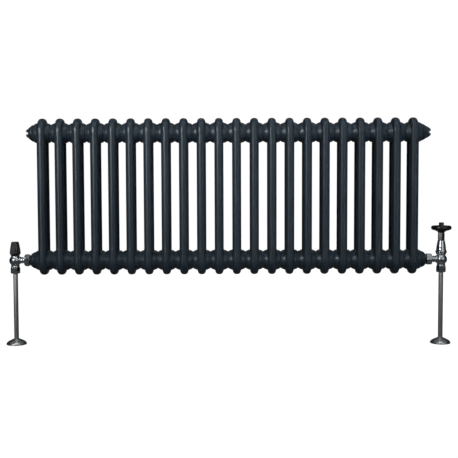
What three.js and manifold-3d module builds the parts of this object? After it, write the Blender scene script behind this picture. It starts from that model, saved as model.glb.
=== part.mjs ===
// Two-column steel radiator with a lockshield valve on the left and a wheelhead valve on the right.
// Millimetres, +Z up. The origin is on the floor, under the middle of the block of sections.
// Each valve is drawn with its two bores crossing at the origin and its outlet along +X.

import * as THREE from 'three';
import { mergeVertices } from 'three/addons/utils/BufferGeometryUtils.js';
import Module from 'manifold-3d';

// ---------- the block of sections ----------

const SECTION_COUNT = 22;
const SECTION_PITCH = 45;
const HUB_SPACING = 325; // from the lower waterway's centre to the upper one's
const HEAD_RISE = 37.5; // from a waterway's centre to the top of its dome
const COLUMN_SPACING = 40; // from the front tube's centre to the rear one's
const TUBE_RADIUS = 11.4;
const TUBE_WALL = 1.4;
const HUB_SEAM_RADIUS = 21.3; // where two sections are welded
const HUB_FLARE = 5.7; // how much wider a hub is where it meets its tubes
const HUB_BORE_RADIUS = 18; // the threaded waterway through a hub
const ARCH_FULLNESS = 2.3; // 2 makes the dome's arch an ellipse, more makes its shoulders fuller

// ---------- pipes and floor plates ----------

const VALVE_HEIGHT = 218; // from the floor to the lower waterway
const PIPE_RADIUS = 5;
const PIPE_WALL = 1;
const SLEEVE_WALL = 0.7;
const PLATE_RADIUS = 26;
const PLATE_HEIGHT = 15;
const PLATE_RIM_HEIGHT = 2.2;
const PLATE_SHEET = 1.6;
const PLATE_SHOULDER = { radius: 0.85, height: 0.5 }; // as shares of the plate's own
const PLATE_SLOPE = { radius: 0.6, height: 0.75 };

// ---------- valves, measured from the crossing of the two bores ----------

const BALL_RADIUS = 14.6;
const WATERWAY_RADIUS = 4.6;
const SEAT_LEVEL = -4;
const CHAMBER_RADIUS = 8.3;
const BODY_TOP = 11;
const BODY_BOTTOM = -27;
const LOWER_NECK_RADIUS = 10.6;
const UPPER_NECK_RADIUS = 10.9;
const LOWER_NECK_TOP = -11.5;
const BALL_BAND_BOTTOM = -5; // the ball is widest from here
const BALL_BAND_TOP = 2; // up to here
const UPPER_NECK_BOTTOM = 9;
const OLIVE_TAPER = 0.7;
const THREAD_WALL = 3.6; // from a pipe's outside to its nut's thread
const PIPE_STOP = -12;
const NUT_TOP = -18.3;
const NUT_BOTTOM = -33.8;
const NUT_WALL = 1.9;
const NUT_FLOOR = 3;
const OLIVE_WALL = 1.6;
const OLIVE_HEIGHT = 5.4;
const BRANCH_RADIUS = 7.2;
const BRANCH_THREAD = 7; // length of the branch inside the union nut
const TAIL_RADIUS = 7.6;
const UNION_START = 24; // from the valve's axis to the union nut
const UNION_NUT_LENGTH = 15.5;
const UNION_THREAD_WALL = 1.6;
const UNION_NUT_WALL = 4;
const TAIL_COLLAR = 2.7;
const TAIL_INSERTION = 10;

// ---------- bushes, plugs and seals in the four hub ends ----------

const BUSH_LENGTH = 11.2;
const BUSH_NOSE_WALL = 4.4;
const BUSH_SWELL = 0.8; // how far the cone stands outside a straight one, halfway along
const BARREL_LENGTH = 16;
const SEAL_THICKNESS = 1.4;
const BLANK_PLUG_LENGTH = 16.6;
const VENT_PLUG_LENGTH = 20.3;
const PLUG_TIP_RADIUS = 9.2;
const FLANGE_THICKNESS = 2;
const PLUG_SLOT_WIDTH = 6;
const PLUG_SLOT_DEPTH = 6;
const VENT_RADIUS = 3.2;
const VENT_SQUARE = 4; // across the flats of the bleed screw's head
const VENT_HEAD = 4;

// ---------- spindles, headwork, cap and wheel ----------

const SPINDLE_RADIUS = 3;
const VALVE_LIFT = 3.75; // how far a disc leaves its seat
const DISC_RADIUS = 6.2;
const DISC_HEIGHT = 3;
const DISC_CHAMFER = 0.8;
const HEADWORK_BARREL_RADIUS = 6.6;
const PACKING_WALL = 1.7;
const PACKING_HEIGHT = 2.4;
const LOCK_FLANGE_FLATS = 15.4;
const LOCK_FLANGE_HEIGHT = 4.2;
const LOCK_NUT_FLATS = 13;
const LOCK_NUT_HEIGHT = 6;
const LOCK_SPINDLE_TOP = 30;
const LOCK_SQUARE = 4.2;
const LOCK_SQUARE_LENGTH = 7;
const CAP_BOTTOM = 11.4;
const CAP_HEIGHT = 36.4;
const CAP_RADIUS = 14;
const CAP_WALL = 1.5;
const CAP_CROWN = 6; // from the hollow's roof to the top
const CAP_FOOT_INSET = 3.1; // how much narrower than the cap's widest ring
const CAP_FOOT_HEIGHT = 2;
const CAP_BELLY_HEIGHT = 7; // from the foot to the widest ring
const CAP_RIM_INSET = 3.2;
const CAP_TOP_INSET = 4.6;
const CAP_TOP_BEVEL = 1.6;
const COLLAR_RADIUS = 12.9;
const COLLAR_HEIGHT = 4.6;
const COLLAR_CHAMFER = 1.9;
const SHROUD_TOP = 48;
const SHROUD_RADIUS = 14.4;
const SHROUD_TOP_RADIUS = 9;
const SHROUD_SHEET = 1.2;
const SHROUD_SKIRT = 4; // height of the straight skirt
const GLAND_NUT_FLATS = 15.4;
const GLAND_NUT_TOP = 67.7;
const GLAND_THREAD = 8;
const WHEEL_RADIUS = 26;
const WHEEL_RIM_RADIUS = 5.6;
const WHEEL_RIM_LEVEL = 79.8;
const WHEEL_HUB_RADIUS = 8.8;
const WHEEL_TOP = 85.7;
const WHEEL_BOSS_HEIGHT = 3; // how far the boss stands above the web
const FINIAL_FLATS = 11.4;
const FINIAL_HEIGHT = 8;
const FINIAL_BORE = 4.4;

// ---------- fits ----------

const GAP = 0.3; // between two pieces that touch
const SLIP = 0.3; // around a piece that passes through or turns in another
const SEAL_INSET = 0.6; // from the edge of a hub's end to the edge of what is screwed against it
const OVERCUT = 1; // how far a cutting shape stands out past what it cuts
const BREAK = 1; // bevel on the edges of turned pieces

// ---------- worked out from the values above ----------

const COLUMN_OFFSET = COLUMN_SPACING / 2;
const HUB_BASE_RADIUS = HUB_SEAM_RADIUS + HUB_FLARE;
const SECTION_HALF_WIDTH = (SECTION_PITCH - GAP) / 2;
const BLOCK_HALF_LENGTH = (SECTION_COUNT - 1) * SECTION_PITCH / 2 + SECTION_HALF_WIDTH;
const LOWER_HUB = VALVE_HEIGHT;
const UPPER_HUB = VALVE_HEIGHT + HUB_SPACING;
const UNION_END = UNION_START + UNION_NUT_LENGTH;
const BRANCH_END = UNION_START + BRANCH_THREAD;
const BUSH_START = UNION_END + GAP;
const BUSH_FACE = BUSH_START + BUSH_LENGTH;
const VALVE_REACH = BUSH_FACE + SEAL_THICKNESS + 2 * GAP; // from the valve's axis to the hub's end
const VALVE_AXIS = BLOCK_HALF_LENGTH + VALVE_REACH;
const FLANGE_RADIUS = HUB_SEAM_RADIUS - SEAL_INSET;
const BARREL_RADIUS = HUB_BORE_RADIUS - SLIP;
const INLET_RADIUS = PIPE_RADIUS + THREAD_WALL;
const NUT_BORE = INLET_RADIUS + SLIP;
const OLIVE_RADIUS = PIPE_RADIUS + SLIP + OLIVE_WALL;
const SLEEVE_INNER = PIPE_RADIUS + SLIP;
const SLEEVE_RADIUS = SLEEVE_INNER + SLEEVE_WALL;
const UNION_THREAD = TAIL_RADIUS + UNION_THREAD_WALL;
const SPINDLE_BORE = SPINDLE_RADIUS + SLIP;
const DISC_BOTTOM = SEAT_LEVEL + GAP;
const DISC_TOP = DISC_BOTTOM + DISC_HEIGHT;
const HEADWORK_BOTTOM = DISC_TOP + VALVE_LIFT + GAP;
const HEADWORK_THREAD = CHAMBER_RADIUS - SLIP;
const PACKING_RADIUS = SPINDLE_BORE + PACKING_WALL;
const TAIL_END = BUSH_START + TAIL_INSERTION;

const NEXT_FLAT = Math.PI / 6; // turns a hexagon from a corner on an axis to a flat on it
const ROUND = 12; // sides on small turned pieces
const WIDE = 16; // sides on the wheel, the cap, the shroud and the floor plates
const WELD = 1e-4;

// ---------- solids ----------

const wasm = await Module();
wasm.setup();

/** A manifold solid from a three.js geometry, with its faces turned outwards. */
function solid(geometry) {
  const bare = new THREE.BufferGeometry();
  bare.setAttribute('position', geometry.getAttribute('position'));
  bare.setIndex(geometry.getIndex());
  const welded = mergeVertices(bare, WELD);
  const corners = welded.getIndex().array;
  const places = welded.getAttribute('position').array;
  const at = (corner) => new THREE.Vector3().fromArray(places, 3 * corner);
  const faces = [];
  let volume = 0;
  for (let i = 0; i < corners.length; i += 3) {
    const [a, b, c] = corners.slice(i, i + 3);
    if (a === b || b === c || c === a) continue;
    faces.push([a, b, c]);
    volume += at(a).dot(at(b).cross(at(c)));
  }
  const outward = volume > 0 ? faces : faces.map(([a, b, c]) => [a, c, b]);
  const mesh = new wasm.Mesh({
    numProp: 3,
    vertProperties: Float32Array.from(places),
    triVerts: Uint32Array.from(outward.flat()),
  });
  return new wasm.Manifold(mesh);
}

/** The three.js geometry of a manifold solid. */
function geometryOf(body) {
  const mesh = body.getMesh();
  const geometry = new THREE.BufferGeometry();
  geometry.setAttribute('position', new THREE.BufferAttribute(mesh.vertProperties, 3));
  geometry.setIndex(new THREE.BufferAttribute(mesh.triVerts, 1));
  geometry.computeVertexNormals();
  return geometry;
}

/** A profile of [radius, height] points turned about Z; it starts and ends on the axis. */
function turned(profile, sides = ROUND) {
  const points = profile.map(([radius, height]) => new THREE.Vector2(radius, height));
  return new THREE.LatheGeometry(points, sides).rotateX(Math.PI / 2);
}

/** A ring: a closed profile of [radius, height] points turned about Z. */
function ring(profile, sides = ROUND) {
  return turned([...profile, profile[0]], sides);
}

/** A plain tube or washer between two heights. */
function tube(inner, outer, bottom, top, sides = ROUND) {
  return ring([[inner, bottom], [outer, bottom], [outer, top], [inner, top]], sides);
}

/** A plain round bar between two heights. */
function bar(radius, bottom, top, sides = ROUND) {
  return turned([[0, bottom], [radius, bottom], [radius, top], [0, top]], sides);
}

/** Turns a shape made along Z so that it lies along X. */
function alongX(geometry) {
  return geometry.rotateY(Math.PI / 2);
}

/** A prism with flats, set with two corners on the Y axis. */
function flatted(count, acrossFlats, bottom, top) {
  const radius = acrossFlats / 2 / Math.cos(Math.PI / count);
  return new THREE.CylinderGeometry(radius, radius, top - bottom, count)
    .rotateX(Math.PI / 2)
    .translate(0, 0, (top + bottom) / 2);
}

const CHAMFER_SHARE = 0.08; // a nut's chamfer, as a share of its size across the flats

/** A hexagon nut blank whose corners are turned down at both ends. */
function hexagon(acrossFlats, bottom, top) {
  const chamfer = acrossFlats * CHAMFER_SHARE;
  const corner = acrossFlats / Math.sqrt(3);
  const face = corner - 2 * chamfer;
  const turning = turned([
    [0, bottom], [face, bottom], [corner, bottom + chamfer],
    [corner, top - chamfer], [face, top], [0, top],
  ]);
  return solid(flatted(6, acrossFlats, bottom, top)).intersect(solid(turning));
}

// ---------- the radiator's section ----------

const ARCH_STEPS = 4; // even, so that one ring stands at the top of the dome
const LOOP_SIDES = 6;
const LOOP_WIDENING = 1 / Math.sin(Math.PI / 3); // makes the six-sided tube as wide as it is deep
const HUB_SIDES = 8;

/** A value raised to a power, with its sign kept. */
function signedPower(value, power) {
  return Math.sign(value) * Math.abs(value) ** power;
}

/** The closed hoop of one section: up the front tube, over, down the rear tube and under. */
function hoop(radius) {
  const rise = HEAD_RISE - TUBE_RADIUS;
  const along = 2 / ARCH_FULLNESS;
  const across = 2 - along;
  const rings = [];
  for (const hub of [HUB_SPACING / 2, -HUB_SPACING / 2]) {
    const start = hub > 0 ? 0 : Math.PI;
    for (let step = 0; step <= ARCH_STEPS; step += 1) {
      const turn = start + Math.PI * step / ARCH_STEPS;
      const [cosine, sine] = [Math.cos(turn), Math.sin(turn)];
      const centre = new THREE.Vector3(
        0, COLUMN_OFFSET * signedPower(cosine, along), hub + rise * signedPower(sine, along),
      );
      const outward = new THREE.Vector3(
        0, signedPower(cosine, across) / COLUMN_OFFSET, signedPower(sine, across) / rise,
      );
      rings.push({ centre, outward: outward.normalize() });
    }
  }
  const places = [];
  for (const { centre, outward } of rings) {
    for (let side = 0; side < LOOP_SIDES; side += 1) {
      const angle = 2 * Math.PI * side / LOOP_SIDES;
      const place = centre.clone().addScaledVector(outward, radius * Math.cos(angle));
      places.push(radius * LOOP_WIDENING * Math.sin(angle), place.y, place.z);
    }
  }
  const faces = [];
  for (let step = 0; step < rings.length; step += 1) {
    for (let side = 0; side < LOOP_SIDES; side += 1) {
      const next = (side + 1) % LOOP_SIDES;
      const here = step * LOOP_SIDES;
      const there = (step + 1) % rings.length * LOOP_SIDES;
      faces.push(here + side, here + next, there + next, here + side, there + next, there + side);
    }
  }
  const geometry = new THREE.BufferGeometry();
  geometry.setAttribute('position', new THREE.Float32BufferAttribute(places, 3));
  geometry.setIndex(faces);
  return geometry;
}

/** The outside of a hub: a barrel that tapers to its two welded ends. */
function hubOutside() {
  return alongX(turned([
    [0, -SECTION_HALF_WIDTH], [HUB_SEAM_RADIUS, -SECTION_HALF_WIDTH],
    [HUB_BASE_RADIUS, -TUBE_RADIUS], [HUB_BASE_RADIUS, TUBE_RADIUS],
    [HUB_SEAM_RADIUS, SECTION_HALF_WIDTH], [0, SECTION_HALF_WIDTH],
  ], HUB_SIDES));
}

/** The waterway through a hub, open at both ends; its flats lie on the bore's own radius. */
function hubWaterway() {
  const past = SECTION_HALF_WIDTH + OVERCUT;
  return alongX(bar(HUB_BORE_RADIUS / Math.cos(Math.PI / HUB_SIDES), -past, past, HUB_SIDES));
}

function sectionSolid() {
  const atBothHubs = (shape) => [HUB_SPACING / 2, -HUB_SPACING / 2]
    .map((level) => solid(shape()).translate([0, 0, level]));
  const [upper, lower] = atBothHubs(hubOutside);
  const [upperWaterway, lowerWaterway] = atBothHubs(hubWaterway);
  const water = solid(hoop(TUBE_RADIUS - TUBE_WALL)).add(upperWaterway).add(lowerWaterway);
  return solid(hoop(TUBE_RADIUS)).add(upper).add(lower).subtract(water);
}

// ---------- pieces in the hub ends; each is drawn along +Z, from the hub's end outwards ----------

function seal() {
  return tube(HUB_BORE_RADIUS, FLANGE_RADIUS - GAP, 0, SEAL_THICKNESS);
}

/** A hub plug: a threaded barrel, a flange and a cone that is slotted at its tip. */
function plug(length) {
  const blank = solid(turned([
    [0, -BARREL_LENGTH], [BARREL_RADIUS, -BARREL_LENGTH], [BARREL_RADIUS, 0],
    [FLANGE_RADIUS, 0], [FLANGE_RADIUS, FLANGE_THICKNESS], [PLUG_TIP_RADIUS, length - BREAK],
    [PLUG_TIP_RADIUS - BREAK, length], [0, length],
  ]));
  const slot = new THREE.BoxGeometry(PLUG_SLOT_WIDTH, 2 * FLANGE_RADIUS, 2 * PLUG_SLOT_DEPTH);
  slot.translate(0, 0, length);
  return blank.subtract(solid(slot));
}

/** The plug that takes the bleed screw, bored through. */
function ventPlug() {
  const bore = bar(VENT_RADIUS, -BARREL_LENGTH - OVERCUT, VENT_PLUG_LENGTH);
  return plug(VENT_PLUG_LENGTH).subtract(solid(bore));
}

/** The bleed screw: a round shank with a square head that stands in the plug's slot. */
function bleedScrew() {
  const head = VENT_PLUG_LENGTH - PLUG_SLOT_DEPTH + GAP;
  const shank = solid(bar(VENT_RADIUS - SLIP, FLANGE_THICKNESS, head));
  return shank.add(solid(flatted(4, VENT_SQUARE, head, head + VENT_HEAD)));
}

/** A reducing bush: a threaded barrel and a cone that narrows to the valve's tail. */
function bush() {
  const bore = TAIL_RADIUS + SLIP;
  const nose = bore + BUSH_NOSE_WALL;
  const halfway = [(FLANGE_RADIUS + nose) / 2 + BUSH_SWELL, (BUSH_LENGTH + FLANGE_THICKNESS) / 2];
  return ring([
    [bore, -BARREL_LENGTH], [BARREL_RADIUS, -BARREL_LENGTH], [BARREL_RADIUS, 0],
    [FLANGE_RADIUS, 0], [FLANGE_RADIUS, FLANGE_THICKNESS], halfway,
    [nose, BUSH_LENGTH], [bore, BUSH_LENGTH],
  ]);
}

// ---------- pieces that both valves share ----------

/** The angled body: a ball with a neck below, an open top and a branch towards the radiator. */
function valveBody() {
  const upright = solid(turned([
    [0, BODY_BOTTOM], [INLET_RADIUS, BODY_BOTTOM], [INLET_RADIUS, NUT_TOP + GAP],
    [LOWER_NECK_RADIUS, NUT_TOP + GAP], [LOWER_NECK_RADIUS, LOWER_NECK_TOP],
    [BALL_RADIUS, BALL_BAND_BOTTOM], [BALL_RADIUS, BALL_BAND_TOP],
    [UPPER_NECK_RADIUS, UPPER_NECK_BOTTOM], [UPPER_NECK_RADIUS, BODY_TOP], [0, BODY_TOP],
  ]));
  const branch = solid(alongX(turned([
    [0, 0], [BRANCH_RADIUS, 0], [BRANCH_RADIUS, UNION_START - 2 * BREAK],
    [UNION_THREAD, UNION_START - BREAK], [UNION_THREAD, BRANCH_END], [0, BRANCH_END],
  ])));
  const socket = NUT_BOTTOM + NUT_FLOOR + OLIVE_HEIGHT + 2 * GAP;
  const inlet = solid(turned([
    [0, BODY_BOTTOM - OVERCUT], [OLIVE_RADIUS + GAP, BODY_BOTTOM - OVERCUT],
    [OLIVE_RADIUS + GAP, socket], [PIPE_RADIUS + SLIP, socket],
    [PIPE_RADIUS + SLIP, PIPE_STOP], [WATERWAY_RADIUS, PIPE_STOP],
    [WATERWAY_RADIUS, SEAT_LEVEL], [CHAMBER_RADIUS, SEAT_LEVEL],
    [CHAMBER_RADIUS, BODY_TOP + OVERCUT], [0, BODY_TOP + OVERCUT],
  ]));
  const outlet = solid(alongX(bar(WATERWAY_RADIUS, 0, BRANCH_END + OVERCUT)));
  return upright.add(branch).subtract(inlet).subtract(outlet);
}

function compressionNut() {
  const floor = NUT_BOTTOM + NUT_FLOOR;
  const bore = solid(turned([
    [0, NUT_BOTTOM - OVERCUT], [PIPE_RADIUS + SLIP, NUT_BOTTOM - OVERCUT],
    [PIPE_RADIUS + SLIP, floor], [NUT_BORE, floor],
    [NUT_BORE, NUT_TOP + OVERCUT], [0, NUT_TOP + OVERCUT],
  ]));
  return hexagon(2 * (NUT_BORE + NUT_WALL), NUT_BOTTOM, NUT_TOP).subtract(bore);
}

function olive() {
  const bottom = NUT_BOTTOM + NUT_FLOOR + GAP;
  const inner = PIPE_RADIUS + SLIP;
  const edge = OLIVE_RADIUS - OLIVE_TAPER;
  return ring([
    [inner, bottom], [edge, bottom], [OLIVE_RADIUS, bottom + OLIVE_HEIGHT / 2],
    [edge, bottom + OLIVE_HEIGHT], [inner, bottom + OLIVE_HEIGHT],
  ]);
}

/** The tail that screws into the bush, with the collar that the union nut pulls on. */
function tail() {
  const start = BRANCH_END + GAP;
  return alongX(ring([
    [WATERWAY_RADIUS, start], [UNION_THREAD, start], [UNION_THREAD, start + TAIL_COLLAR],
    [TAIL_RADIUS, start + TAIL_COLLAR], [TAIL_RADIUS, TAIL_END], [WATERWAY_RADIUS, TAIL_END],
  ]));
}

function unionNut() {
  const shoulder = BRANCH_END + 2 * GAP + TAIL_COLLAR;
  const bore = solid(turned([
    [0, UNION_START - OVERCUT], [UNION_THREAD + SLIP, UNION_START - OVERCUT],
    [UNION_THREAD + SLIP, shoulder], [TAIL_RADIUS + SLIP, shoulder],
    [TAIL_RADIUS + SLIP, UNION_END + OVERCUT], [0, UNION_END + OVERCUT],
  ]));
  const flats = 2 * (UNION_THREAD + SLIP + UNION_NUT_WALL);
  const nut = hexagon(flats, UNION_START, UNION_END).subtract(bore);
  return solid(alongX(geometryOf(nut)));
}

function disc() {
  return turned([
    [0, DISC_BOTTOM], [DISC_RADIUS - DISC_CHAMFER, DISC_BOTTOM],
    [DISC_RADIUS, DISC_BOTTOM + DISC_CHAMFER], [DISC_RADIUS, DISC_TOP], [0, DISC_TOP],
  ]);
}

// ---------- the lockshield valve's own pieces ----------

const LOCK_FLANGE_BOTTOM = BODY_TOP + GAP;
const LOCK_FLANGE_TOP = LOCK_FLANGE_BOTTOM + LOCK_FLANGE_HEIGHT;
const CAP_TOP = CAP_BOTTOM + CAP_HEIGHT;

function lockHeadwork() {
  const thread = solid(bar(HEADWORK_THREAD, HEADWORK_BOTTOM, LOCK_FLANGE_BOTTOM + OVERCUT));
  const flange = hexagon(LOCK_FLANGE_FLATS, LOCK_FLANGE_BOTTOM, LOCK_FLANGE_TOP);
  const bore = solid(bar(SPINDLE_BORE, HEADWORK_BOTTOM - OVERCUT, LOCK_FLANGE_TOP + OVERCUT));
  return thread.add(flange).subtract(bore);
}

function lockGlandNut() {
  const bottom = LOCK_FLANGE_TOP + GAP;
  const top = bottom + LOCK_NUT_HEIGHT;
  const bore = solid(bar(SPINDLE_BORE, bottom - OVERCUT, top + OVERCUT));
  return hexagon(LOCK_NUT_FLATS, bottom, top).subtract(bore);
}

function lockSpindle() {
  const squareBottom = LOCK_SPINDLE_TOP - LOCK_SQUARE_LENGTH;
  const shank = solid(bar(SPINDLE_RADIUS, DISC_TOP + GAP, squareBottom));
  return shank.add(solid(flatted(4, LOCK_SQUARE, squareBottom - OVERCUT, LOCK_SPINDLE_TOP)));
}

/** The hollow cap: narrow at its foot, widest a fifth of the way up, then tapering to its top. */
function lockCap() {
  const foot = CAP_RADIUS - CAP_FOOT_INSET;
  const rim = CAP_RADIUS - CAP_RIM_INSET;
  const roof = CAP_TOP - CAP_CROWN;
  return turned([
    [0, CAP_TOP], [CAP_RADIUS - CAP_TOP_INSET, CAP_TOP], [rim, CAP_TOP - CAP_TOP_BEVEL],
    [CAP_RADIUS, CAP_BOTTOM + CAP_BELLY_HEIGHT], [foot, CAP_BOTTOM + CAP_FOOT_HEIGHT],
    [foot, CAP_BOTTOM], [foot - CAP_WALL, CAP_BOTTOM],
    [foot - CAP_WALL, CAP_BOTTOM + CAP_BELLY_HEIGHT - CAP_FOOT_HEIGHT],
    [rim - CAP_WALL, roof], [0, roof],
  ], WIDE);
}

// ---------- the wheelhead valve's own pieces ----------

const COLLAR_TOP = BODY_TOP + GAP + COLLAR_HEIGHT;
const SHROUD_BOTTOM = COLLAR_TOP + GAP;
const GLAND_NUT_BOTTOM = SHROUD_TOP + GAP;
const HEADWORK_TOP = GLAND_NUT_BOTTOM + GLAND_THREAD - GAP;
const WHEEL_BOTTOM = GLAND_NUT_TOP + GAP;
const FINIAL_BOTTOM = WHEEL_TOP + GAP;

function wheelHeadwork() {
  const collar = BODY_TOP + GAP;
  const outside = solid(turned([
    [0, HEADWORK_BOTTOM], [HEADWORK_THREAD, HEADWORK_BOTTOM], [HEADWORK_THREAD, collar],
    [COLLAR_RADIUS - COLLAR_CHAMFER, collar], [COLLAR_RADIUS, collar + COLLAR_CHAMFER],
    [COLLAR_RADIUS, COLLAR_TOP], [HEADWORK_BARREL_RADIUS, COLLAR_TOP],
    [HEADWORK_BARREL_RADIUS, HEADWORK_TOP], [0, HEADWORK_TOP],
  ]));
  const bore = bar(SPINDLE_BORE, HEADWORK_BOTTOM - OVERCUT, HEADWORK_TOP + OVERCUT);
  const packingFloor = HEADWORK_TOP - PACKING_HEIGHT - GAP;
  const packingSeat = bar(PACKING_RADIUS + SLIP, packingFloor, HEADWORK_TOP + OVERCUT);
  return outside.subtract(solid(bore)).subtract(solid(packingSeat));
}

/** The packing ring around the spindle, pressed down by the gland nut. */
function packing() {
  return tube(SPINDLE_BORE, PACKING_RADIUS, HEADWORK_TOP - PACKING_HEIGHT, HEADWORK_TOP);
}

/** The bell-shaped shroud: a thin skirt that closes in around the headwork's barrel. */
function shroud() {
  const opening = HEADWORK_BARREL_RADIUS + SLIP;
  const waist = (SHROUD_RADIUS + SHROUD_TOP_RADIUS) / 2;
  const middle = (SHROUD_BOTTOM + SHROUD_TOP) / 2;
  const under = SHROUD_TOP - SHROUD_SHEET;
  const skirt = SHROUD_BOTTOM + SHROUD_SKIRT;
  return ring([
    [SHROUD_RADIUS - SHROUD_SHEET, SHROUD_BOTTOM], [SHROUD_RADIUS, SHROUD_BOTTOM],
    [SHROUD_RADIUS, skirt], [waist, middle], [SHROUD_TOP_RADIUS, SHROUD_TOP],
    [opening, SHROUD_TOP], [opening, under], [SHROUD_TOP_RADIUS - SHROUD_SHEET, under],
    [waist - SHROUD_SHEET, middle], [SHROUD_RADIUS - SHROUD_SHEET, skirt],
  ], WIDE);
}

function glandNut() {
  const floor = HEADWORK_TOP + GAP;
  const bore = solid(turned([
    [0, GLAND_NUT_BOTTOM - OVERCUT], [HEADWORK_BARREL_RADIUS + SLIP, GLAND_NUT_BOTTOM - OVERCUT],
    [HEADWORK_BARREL_RADIUS + SLIP, floor], [SPINDLE_BORE, floor],
    [SPINDLE_BORE, GLAND_NUT_TOP + OVERCUT], [0, GLAND_NUT_TOP + OVERCUT],
  ]));
  return hexagon(GLAND_NUT_FLATS, GLAND_NUT_BOTTOM, GLAND_NUT_TOP).subtract(bore);
}

const RIM_TURNS = [-120, -60, 0, 60, 120]; // degrees round the rim's own section

/** The wheel: a round rim, a dished web and a boss that narrows to the gland nut. */
function wheel() {
  const rimCentre = WHEEL_RADIUS - WHEEL_RIM_RADIUS;
  const rim = RIM_TURNS.map((degrees) => {
    const turn = THREE.MathUtils.degToRad(degrees);
    const radius = rimCentre + WHEEL_RIM_RADIUS * Math.cos(turn);
    return [radius, WHEEL_RIM_LEVEL + WHEEL_RIM_RADIUS * Math.sin(turn)];
  });
  return ring([
    [SPINDLE_BORE, WHEEL_BOTTOM], [WHEEL_HUB_RADIUS, WHEEL_BOTTOM],
    ...rim, [WHEEL_HUB_RADIUS, WHEEL_TOP - WHEEL_BOSS_HEIGHT], [WHEEL_HUB_RADIUS - BREAK, WHEEL_TOP],
    [SPINDLE_BORE, WHEEL_TOP],
  ], WIDE);
}

function wheelSpindle() {
  return bar(SPINDLE_RADIUS, DISC_TOP + GAP, FINIAL_BOTTOM + FINIAL_BORE - GAP);
}

function finialNut() {
  const bore = solid(bar(SPINDLE_BORE, FINIAL_BOTTOM - OVERCUT, FINIAL_BOTTOM + FINIAL_BORE));
  return hexagon(FINIAL_FLATS, FINIAL_BOTTOM, FINIAL_BOTTOM + FINIAL_HEIGHT).subtract(bore);
}

// ---------- pipes, drawn down from the valve's centre to the floor ----------

function pipe() {
  return tube(PIPE_RADIUS - PIPE_WALL, PIPE_RADIUS, -VALVE_HEIGHT, PIPE_STOP - GAP);
}

function sleeve() {
  return tube(SLEEVE_INNER, SLEEVE_RADIUS, -VALVE_HEIGHT, NUT_BOTTOM - GAP);
}

/** The floor plate: a thin rim that rises to a collar around the sleeve. */
function floorPlate() {
  const hole = SLEEVE_RADIUS + SLIP;
  const shoulderHeight = PLATE_HEIGHT * PLATE_SHOULDER.height;
  const slopeHeight = PLATE_HEIGHT * PLATE_SLOPE.height;
  const outside = [
    [PLATE_RADIUS, 0], [PLATE_RADIUS, PLATE_RIM_HEIGHT],
    [PLATE_RADIUS * PLATE_SHOULDER.radius, shoulderHeight],
    [PLATE_RADIUS * PLATE_SLOPE.radius, slopeHeight], [hole + PLATE_SHEET, PLATE_HEIGHT],
  ];
  const inside = [
    [hole, PLATE_HEIGHT], [hole, slopeHeight - PLATE_SHEET],
    [PLATE_RADIUS * PLATE_SHOULDER.radius - PLATE_SHEET, shoulderHeight - PLATE_SHEET],
    [PLATE_RADIUS - 2 * PLATE_SHEET, 0],
  ];
  return ring([...outside, ...inside], WIDE).translate(0, 0, -VALVE_HEIGHT);
}

// ---------- finishes ----------

/** A plain finish of a colour, a roughness and a metalness. */
function finish(color, roughness, metalness) {
  return new THREE.MeshStandardMaterial({ color, roughness, metalness });
}

const anthracite = finish(0x2f363f, 0.45, 0.1);
const chrome = finish(0xc9cbcd, 0.12, 1);
const darkChrome = finish(0x6d6a66, 0.22, 1);
const brass = finish(0xb08d46, 0.35, 1);
const copper = finish(0xb06a44, 0.35, 1);
const blackPlastic = finish(0x26262b, 0.4, 0);
const rubber = finish(0x1d1d1d, 0.8, 0);

// ---------- assembly ----------

const radiator = new THREE.Group();

/** Adds a piece, given as a three.js geometry or as a manifold solid. */
function place(parent, name, shape, material) {
  const body = shape instanceof THREE.BufferGeometry ? solid(shape) : shape;
  const mesh = new THREE.Mesh(geometryOf(body), material);
  mesh.name = name;
  parent.add(mesh);
  return mesh;
}

const section = sectionSolid();
for (let index = 0; index < SECTION_COUNT; index += 1) {
  const name = `section_${String(index + 1).padStart(2, '0')}`;
  const mesh = place(radiator, name, section, anthracite);
  mesh.position.set((index - (SECTION_COUNT - 1) / 2) * SECTION_PITCH, 0, (LOWER_HUB + UPPER_HUB) / 2);
}

/** A group at one end of the block, whose +Z points away from the block along the hub's axis. */
function hubEnd(side, level) {
  const group = new THREE.Group();
  group.position.set(side * (BLOCK_HALF_LENGTH + SEAL_THICKNESS + 2 * GAP), 0, level);
  group.rotation.y = side * Math.PI / 2;
  radiator.add(group);
  return group;
}

for (const [side, hand] of [[-1, 'left'], [1, 'right']]) {
  const top = hubEnd(side, UPPER_HUB);
  const bottom = hubEnd(side, LOWER_HUB);
  for (const [level, group] of [['top', top], ['bottom', bottom]]) {
    place(group, `${level}_${hand}_seal`, seal(), rubber).position.z = -SEAL_THICKNESS - GAP;
  }
  place(bottom, `bottom_${hand}_bush`, bush(), anthracite);
  if (side < 0) {
    place(top, 'top_left_plug', plug(BLANK_PLUG_LENGTH), anthracite);
  } else {
    place(top, 'top_right_vent_plug', ventPlug(), anthracite);
    place(top, 'bleed_screw', bleedScrew(), brass);
  }
}

/** A group at one valve's centre, whose +X points towards the block. */
function valveAt(side) {
  const group = new THREE.Group();
  group.position.set(side * VALVE_AXIS, 0, VALVE_HEIGHT);
  group.rotation.z = side > 0 ? Math.PI : 0;
  radiator.add(group);
  return group;
}

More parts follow.
